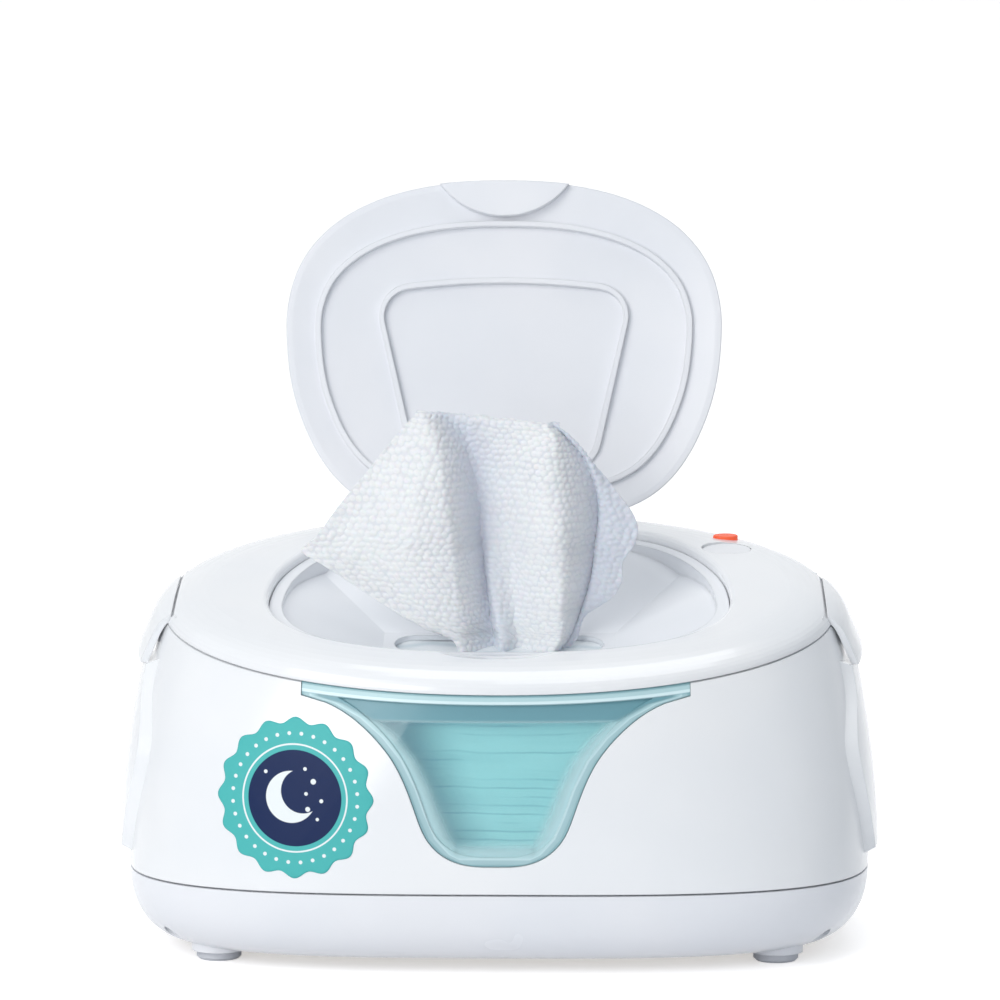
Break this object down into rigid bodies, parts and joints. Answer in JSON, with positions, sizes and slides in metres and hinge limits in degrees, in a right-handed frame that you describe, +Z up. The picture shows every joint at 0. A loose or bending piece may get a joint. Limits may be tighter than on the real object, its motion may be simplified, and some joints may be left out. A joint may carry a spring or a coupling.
{
  "type": "baby wipe warmer",
  "caption": "Low oval wipe warmer and dispenser with a flared clear window, dished slot tray, hinged cover, side latches, night-light button and a flip lid standing open",
  "frame": {"origin": "bottom centre of the whole part, on the surface that the feet stand on", "axes": "X to the right seen from the front, -Y out of the front with the window, +Z up"},
  "size_m": [0.2606, 0.1777, 0.2592],
  "materials": {
    "white_plastic": "satin",
    "base_plastic": "satin",
    "window_clear": "clear",
    "pane_clear": "clear",
    "tub_plastic": "satin",
    "tray_plastic": "satin",
    "plate_metal": "brushed",
    "film": "satin",
    "insulation": "fibrous",
    "sensor_metal": "satin",
    "board": "solder mask",
    "steel": "bright",
    "jack_black": "matte",
    "seal_rubber": "matte",
    "foot_rubber": "matte",
    "red_lens": "translucent",
    "wipe_fabric": "moist non-woven"
  },
  "bodies": {
    "base": {"base_pan": "base_plastic", "rubber_feet": "foot_rubber", "base_screws": "steel", "body_shell": "white_plastic", "window_lens": "window_clear", "wipe_tub": "tub_plastic", "tub_window": "pane_clear", "heater_plate": "plate_metal", "heating_element": "film", "insulation_pad": "insulation", "thermostat": "sensor_metal", "thermal_fuse": "sensor_metal", "control_board": "board", "board_screws": "steel", "dc_jack": "jack_black", "night_lights": "board", "wipe_stack": "wipe_fabric", "cover_hinge_pins": "steel"},
    "cover": {"top_cover": "white_plastic", "dispenser_tray": "tray_plastic", "cover_seal": "seal_rubber", "switch_board": "board", "indicator_lens": "red_lens", "latch_pins": "steel", "lid_hinge_pin": "steel", "pulled_wipe": "wipe_fabric"},
    "lid": {"flip_lid": "white_plastic"},
    "latch_left": {"latch_left": "base_plastic"},
    "latch_right": {"latch_right": "base_plastic"},
    "button": {"light_button": "base_plastic"}
  },
  "joints": [
    {"name": "cover_hinge", "type": "hinge", "parent": "base", "child": "cover", "pos_m": [0, 0.08711, 0.13327], "axis": [-1, 0, 0], "range_deg": [0, 75]},
    {"name": "lid_hinge", "type": "hinge", "parent": "cover", "child": "lid", "pos_m": [0, 0.05851, 0.13586], "axis": [1, 0, 0], "range_deg": [0, 115.5], "deforming": ["pulled_wipe"]},
    {"name": "latch_left_hinge", "type": "hinge", "parent": "cover", "child": "latch_left", "pos_m": [-0.1094, -0.00037, 0.11556], "axis": [0, 0.9724, 0.2334], "range_deg": [0, 14], "stiffness_Nm_per_rad": 0.1},
    {"name": "latch_right_hinge", "type": "hinge", "parent": "cover", "child": "latch_right", "pos_m": [0.1094, -0.00037, 0.11556], "axis": [0, -0.9724, -0.2334], "range_deg": [0, 14], "stiffness_Nm_per_rad": 0.1},
    {"name": "button_press", "type": "slide", "parent": "cover", "child": "button", "axis": [0, 0.2334, -0.9724], "range_m": [0, 0.0008], "stiffness_N_per_m": 400}
  ]
}
